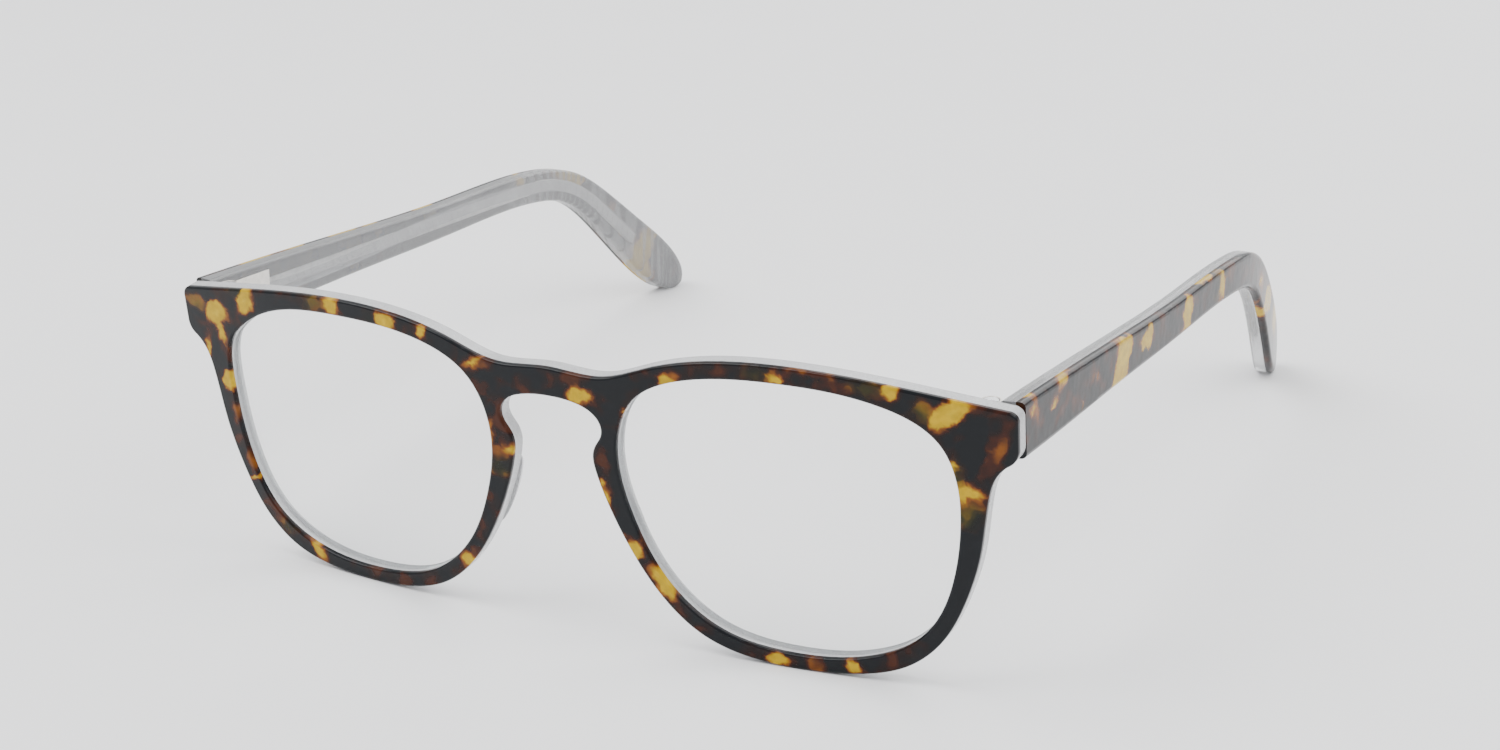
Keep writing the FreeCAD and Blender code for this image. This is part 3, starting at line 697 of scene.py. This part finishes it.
def stamped_wire_tree(material):
    """Geometry nodes: a flat strip along a path, with slanted ribs stamped across both faces."""
    tree = bpy.data.node_groups.new("stamped_wire", "GeometryNodeTree")
    face = tree.interface
    face.new_socket("Path", in_out="INPUT", socket_type="NodeSocketGeometry")
    for name in ("Height", "Thickness", "Rib"):
        face.new_socket(name, in_out="INPUT", socket_type="NodeSocketFloat")
    face.new_socket("Ribs", in_out="INPUT", socket_type="NodeSocketInt")
    face.new_socket("Wire", in_out="OUTPUT", socket_type="NodeSocketGeometry")
    graph = Graph(tree)
    given = tree.nodes.new("NodeGroupInput")

    def taken(name):
        return Term(graph, given.outputs[name])

    curve = graph.node("GeometryNodeMeshToCurve", None, {0: taken("Path")})
    counted = {"mode": "COUNT"}
    fine = graph.node("GeometryNodeResampleCurve", counted, {"Curve": curve, "Count": WIRE_SECTIONS})
    upright = graph.node("GeometryNodeSetCurveNormal", {"mode": "Z_UP"}, {"Curve": fine})
    section = graph.node(
        "GeometryNodeCurvePrimitiveQuadrilateral",
        {"mode": "RECTANGLE"},
        {"Width": taken("Thickness"), "Height": taken("Height")},
    )
    rounded = graph.node(
        "GeometryNodeFilletCurve",
        {"mode": "POLY"},
        {"Curve": section, "Count": 3, "Radius": taken("Thickness") * WIRE_ROUNDING},
    )
    swept = {"Curve": upright, "Profile Curve": rounded, "Fill Caps": True}
    strip = graph.node("GeometryNodeCurveToMesh", None, swept)
    sparse = graph.node("GeometryNodeResampleCurve", counted, {"Curve": upright, "Count": taken("Ribs")})
    points = tree.nodes.new("GeometryNodeCurveToPoints")
    points.mode = "EVALUATED"
    tree.links.new(sparse.socket, points.inputs["Curve"])
    size = graph.node(
        "ShaderNodeCombineXYZ",
        None,
        {
            0: taken("Thickness") + taken("Rib") * 2,
            1: taken("Height") * RIB_HEIGHT,
            2: taken("Rib") * RIB_WIDTH,
        },
    )
    cuts = {"Vertices X": 3, "Vertices Y": 4, "Vertices Z": 3}
    rib = graph.node("GeometryNodeMeshCube", None, {"Size": size, **cuts})
    slant = {"Geometry": rib, "Rotation": (RIB_SLANT, 0.0, 0.0)}
    slanted = graph.node("GeometryNodeTransform", None, slant)
    ribs = graph.node(
        "GeometryNodeInstanceOnPoints",
        None,
        {
            "Points": Term(graph, points.outputs["Points"]),
            "Instance": slanted,
            "Rotation": Term(graph, points.outputs["Rotation"]),
        },
    )
    joined = tree.nodes.new("GeometryNodeJoinGeometry")
    for part in (ribs, strip):
        tree.links.new(part.socket, joined.inputs[0])
    real = graph.node("GeometryNodeRealizeInstances", None, {0: Term(graph, joined.outputs[0])})
    coloured = graph.node("GeometryNodeSetMaterial", None, {"Geometry": real, "Material": material})
    result = tree.nodes.new("NodeGroupOutput")
    tree.links.new(coloured.socket, result.inputs[0])
    return tree


def stamped_wire(side, settings, material, tree):
    """The core wire of one temple."""
    place = temple_frame(side)
    length = WIRE_END - WIRE_START
    distances = [WIRE_START + length * step / WIRE_STEPS for step in range(WIRE_STEPS + 1)]
    spots = [temple_place(distance, WIRE_OFFSET) for distance in distances]
    spots = [place @ (Vector((SIDES[side] * spot.x, spot.y, spot.z)) * MM) for spot in spots]
    path = bpy.data.meshes.new("wire_path")
    path.from_pydata(spots, [(number, number + 1) for number in range(len(spots) - 1)], [])
    carrier = bpy.data.objects.new("wire_carrier", path)
    bpy.context.scene.collection.objects.link(carrier)
    modifier = carrier.modifiers.new("stamped_wire", "NODES")
    modifier.node_group = tree
    values = {
        "Height": settings.height,
        "Thickness": settings.thickness,
        "Rib": settings.rib,
        "Ribs": settings.ribs,
    }
    for socket in tree.interface.items_tree:
        if socket.name in values:
            modifier[socket.identifier] = values[socket.name]
    bpy.context.view_layer.update()
    baked = bpy.data.meshes.new_from_object(carrier.evaluated_get(bpy.context.evaluated_depsgraph_get()))
    bpy.data.objects.remove(carrier)
    wire = bpy.data.objects.new(f"stamped_wire_{side}", baked)
    bpy.context.scene.collection.objects.link(wire)
    return wire


# -------------------------------------------------------------------------------------------------- hinges

SEAM = 0.000002  # vertices this close are one, in metres
FLAT_ANGLE = math.radians(1)  # faces that meet at less than this are one
EASED_ANGLE = math.radians(40)  # sharper edges than this are eased
LEAF_EASE = 0.00008
SCREW_EASE = 0.00004


def eased_copy(node, name, material, width):
    """A copy of a CAD node's shape with its sharp edges eased."""
    shape = bmesh.new()
    shape.from_mesh(frame["nodes"][node].data)
    bmesh.ops.remove_doubles(shape, verts=shape.verts, dist=SEAM)
    bmesh.ops.dissolve_limit(shape, angle_limit=FLAT_ANGLE, verts=shape.verts, edges=shape.edges)
    piece = mesh_object(name, shape, material)
    bevel = piece.modifiers.new("eased", "BEVEL")
    bevel.width = width
    bevel.segments = 2
    bevel.limit_method = "ANGLE"
    bevel.angle_limit = EASED_ANGLE
    bevel.harden_normals = True
    return piece


# ----------------------------------------------------------------------------------------------- operators

TABLE_RADIUS = 4.0
LIT_POINT = Vector((0.0, -0.05, 0.02))  # where the lamps aim
LOOKED_AT = Vector((0.0222, -0.0520, 0.0370))  # where the camera aims
SENSOR_WIDTH = 36.0


class GLASSES_OT_front(bpy.types.Operator):
    """Finish the laminated front and its nose pads"""

    bl_idname = "glasses.front"
    bl_label = "Front"

    def execute(self, context):
        settings = context.scene.glasses_acetate
        tortoise = tortoise_acetate("tortoise_front", settings, placed_patches, FRONT.inverted())
        dress("front_tortoise_layer", tortoise)
        crystal = crystal_acetate("crystal_front", settings, FRONT_CLARITY)
        for node in ("front_crystal_layer", "nose_pad_left", "nose_pad_right"):
            dress(node, crystal)
        return {"FINISHED"}


class GLASSES_OT_lenses(bpy.types.Operator):
    """Make both lenses"""

    bl_idname = "glasses.lenses"
    bl_label = "Lenses"

    def execute(self, context):
        settings = context.scene.glasses_lens
        material = coated_lens("coated_lens", settings)
        for side in SIDES:
            lens = edged_lens(side, settings, material)
            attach(lens, "front")
            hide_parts(f"lens_{side}")
        return {"FINISHED"}


class GLASSES_OT_hinges(bpy.types.Operator):
    """Finish the hinge leaves and their screws"""

    bl_idname = "glasses.hinges"
    bl_label = "Hinges"

    def execute(self, context):
        nickel = satin_metal("nickel_silver", (0.74, 0.71, 0.66), 0.2, 3.0)
        bright = satin_metal("bright_steel", (0.72, 0.73, 0.74), 0.16, 4.0)
        for side in SIDES:
            for node, body, material, slot, ease in (
                (f"front_hinge_leaf_{side}", "front", nickel, "hinge_steel", LEAF_EASE),
                (f"temple_hinge_leaf_{side}", f"temple_{side}", nickel, "hinge_steel", LEAF_EASE),
                (f"hinge_screw_{side}", "front", bright, "screw_steel", SCREW_EASE),
            ):
                piece = eased_copy(node, f"eased_{node}", material, ease)
                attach(piece, body)
                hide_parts(node)
        return {"FINISHED"}


class GLASSES_OT_temples(bpy.types.Operator):
    """Finish the laminated temples"""

    bl_idname = "glasses.temples"
    bl_label = "Temples"

    def execute(self, context):
        settings = context.scene.glasses_acetate
        tortoise = tortoise_acetate("tortoise_temple", settings, scattered_patches)
        crystal = crystal_acetate("crystal_temple", settings, TEMPLE_CLARITY)
        for side in SIDES:
            dress(f"temple_tortoise_layer_{side}", tortoise)
            dress(f"temple_crystal_layer_{side}", crystal)
        return {"FINISHED"}


class GLASSES_OT_core_wires(bpy.types.Operator):
    """Make the stamped core wires inside the temples"""

    bl_idname = "glasses.core_wires"
    bl_label = "Core wires"

    def execute(self, context):
        settings = context.scene.glasses_wire
        material = satin_metal("wire_steel", (0.70, 0.69, 0.67), 0.22, 2.5)
        tree = stamped_wire_tree(material)
        for side in SIDES:
            wire = stamped_wire(side, settings, material, tree)
            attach(wire, f"temple_{side}")
            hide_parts(f"core_wire_{side}")
        return {"FINISHED"}


class GLASSES_OT_stage(bpy.types.Operator):
    """Set the table, the lights and the camera"""

    bl_idname = "glasses.stage"
    bl_label = "Stage"

    def execute(self, context):
        settings = context.scene.glasses_stage
        self.table(settings)
        self.lights(context.scene)
        self.camera(context.scene, settings)
        return {"FINISHED"}

    @staticmethod
    def table(settings):
        shape = bmesh.new()
        bmesh.ops.create_circle(shape, cap_ends=True, radius=TABLE_RADIUS, segments=96)
        table = mesh_object("table", shape, plain_floor("table_top", settings.floor))

    @staticmethod
    def lights(scene):
        world = bpy.data.worlds.new("studio")
        world.use_nodes = True
        scene.world = world
        background = world.node_tree.nodes["Background"]
        background.inputs["Color"].default_value = (0.97, 0.98, 1.0, 1.0)
        background.inputs["Strength"].default_value = 1.05
        for name, place, size, power in (
            ("key", (-0.55, -0.35, 1.05), 0.9, 14.0),
            ("fill", (0.8, -0.1, 0.9), 1.0, 9.0),
            ("back", (0.1, 1.0, 0.7), 1.2, 9.0),
        ):
            lamp = bpy.data.lights.new(name, "AREA")
            lamp.shape = "DISK"
            lamp.size = size
            lamp.energy = power
            light = bpy.data.objects.new(name, lamp)
            light.location = place
            light.rotation_euler = (LIT_POINT - Vector(place)).to_track_quat("-Z", "Y").to_euler()
            scene.collection.objects.link(light)

    @staticmethod
    def camera(scene, settings):
        data = bpy.data.cameras.new("camera")
        data.lens = settings.lens
        data.sensor_width = SENSOR_WIDTH
        data.clip_start = 0.01
        view = bpy.data.objects.new("camera", data)
        towards = Vector(
            (
                -math.sin(settings.azimuth) * math.cos(settings.elevation),
                math.cos(settings.azimuth) * math.cos(settings.elevation),
                -math.sin(settings.elevation),
            )
        )
        place = Matrix.Translation(LOOKED_AT - towards * settings.distance)
        level = towards.to_track_quat("-Z", "Y").to_matrix().to_4x4()
        view.matrix_world = place @ level @ Matrix.Rotation(settings.roll, 4, "Z")
        scene.collection.objects.link(view)
        scene.camera = view


class GLASSES_PT_panel(bpy.types.Panel):
    """Buttons for each group of pieces"""

    bl_idname = "GLASSES_PT_panel"
    bl_label = "Reading glasses"
    bl_space_type = "VIEW_3D"
    bl_region_type = "UI"
    bl_category = "Glasses"

    def draw(self, context):
        for operator in OPERATORS:
            self.layout.operator(operator.bl_idname)


SETTINGS = {
    "glasses_acetate": AcetateSettings,
    "glasses_lens": LensSettings,
    "glasses_wire": WireSettings,
    "glasses_stage": StageSettings,
}
OPERATORS = (
    GLASSES_OT_front,
    GLASSES_OT_lenses,
    GLASSES_OT_hinges,
    GLASSES_OT_temples,
    GLASSES_OT_core_wires,
    GLASSES_OT_stage,
)


def register():
    for group in (*SETTINGS.values(), *OPERATORS, GLASSES_PT_panel):
        bpy.utils.register_class(group)
    for name, group in SETTINGS.items():
        setattr(bpy.types.Scene, name, PointerProperty(type=group))


def unregister():
    for name in SETTINGS:
        delattr(bpy.types.Scene, name)
    for group in (GLASSES_PT_panel, *OPERATORS, *SETTINGS.values()):
        bpy.utils.unregister_class(group)


def main():
    register()
    bpy.ops.glasses.front()
    bpy.ops.glasses.lenses()
    bpy.ops.glasses.hinges()
    bpy.ops.glasses.temples()
    bpy.ops.glasses.core_wires()
    bpy.ops.glasses.stage()


if __name__ == "__main__":
    main()
